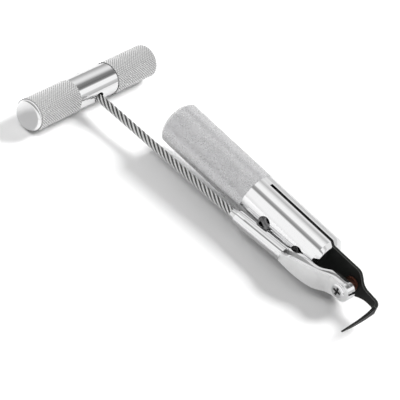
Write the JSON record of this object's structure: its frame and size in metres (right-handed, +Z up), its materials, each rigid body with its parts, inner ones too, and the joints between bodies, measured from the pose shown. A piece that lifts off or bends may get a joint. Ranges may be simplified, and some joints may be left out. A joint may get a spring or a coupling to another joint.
{
  "type": "windscreen removal knife",
  "caption": "Windscreen removal pull knife: slotted knurled handle clamping a black hooked blade, with a T-shaped pull bar on a short wire rope linked to the blade's pivot.",
  "frame": {"origin": "centre of the butt face of the handle, on the handle's axis", "axes": "+X towards the blade along the tool as it rests on a table, +Y across the blade's flat away from the pull rope, +Z up; the handle's axis dips 2.3 degrees below +X, because the tool rests on its pull bar and the nose's lower edge"},
  "size_m": [0.2735, 0.1226, 0.0376],
  "materials": {
    "polished_aluminium": "mirror polished, fine turning lines",
    "knurled_aluminium": "satin, fine diamond knurl",
    "black_steel": "black oxide, ground edges",
    "black_screw": "black oxide socket set screw",
    "chrome_screw": "bright plated, cross recess",
    "bronze": "turned bronze, dull",
    "zinc_steel": "bright zinc plate",
    "chrome_plate": "bright plated pressed sheet",
    "ferrule_steel": "swaged, plated",
    "rope_steel": "galvanised strands, right-hand lay"
  },
  "bodies": {
    "handle": {"handle_nose": "polished_aluminium", "grip_sleeve": "knurled_aluminium"},
    "clamp_rear": {"clamp_screw_rear": "black_screw"},
    "clamp_front": {"clamp_screw_front": "black_screw"},
    "blade": {"blade": "black_steel", "pivot_screw": "chrome_screw", "pivot_bush": "bronze", "pivot_washer": "zinc_steel", "pivot_nut": "zinc_steel"},
    "link": {"link_near_shell": "chrome_plate", "link_far_shell": "chrome_plate", "rope_ferrule": "ferrule_steel", "wire_rope": "rope_steel", "rope_stop": "ferrule_steel"},
    "bar": {"pull_bar": "knurled_aluminium", "bar_ring": "zinc_steel"}
  },
  "joints": [
    {"name": "blade_slide", "type": "slide", "parent": "handle", "child": "blade", "axis": [0.9992, 0, -0.041], "range_m": [0, 0.03]},
    {"name": "clamp_rear_travel", "type": "slide", "parent": "handle", "child": "clamp_rear", "axis": [0, -1, 0], "range_m": [0, 0.003]},
    {"name": "clamp_front_travel", "type": "slide", "parent": "handle", "child": "clamp_front", "axis": [0, -1, 0], "range_m": [0, 0.003]},
    {"name": "link_pivot", "type": "hinge", "parent": "blade", "child": "link", "pos_m": [0.171, 0, -0.00591], "axis": [0, 1, 0], "range_deg": [-125, 145]},
    {"name": "bar_swivel", "type": "hinge", "parent": "link", "child": "bar", "pos_m": [-0.06145, -0.0234, -0.00969], "axis": [-0.999, -0.0345, 0.0292], "continuous": true}
  ]
}
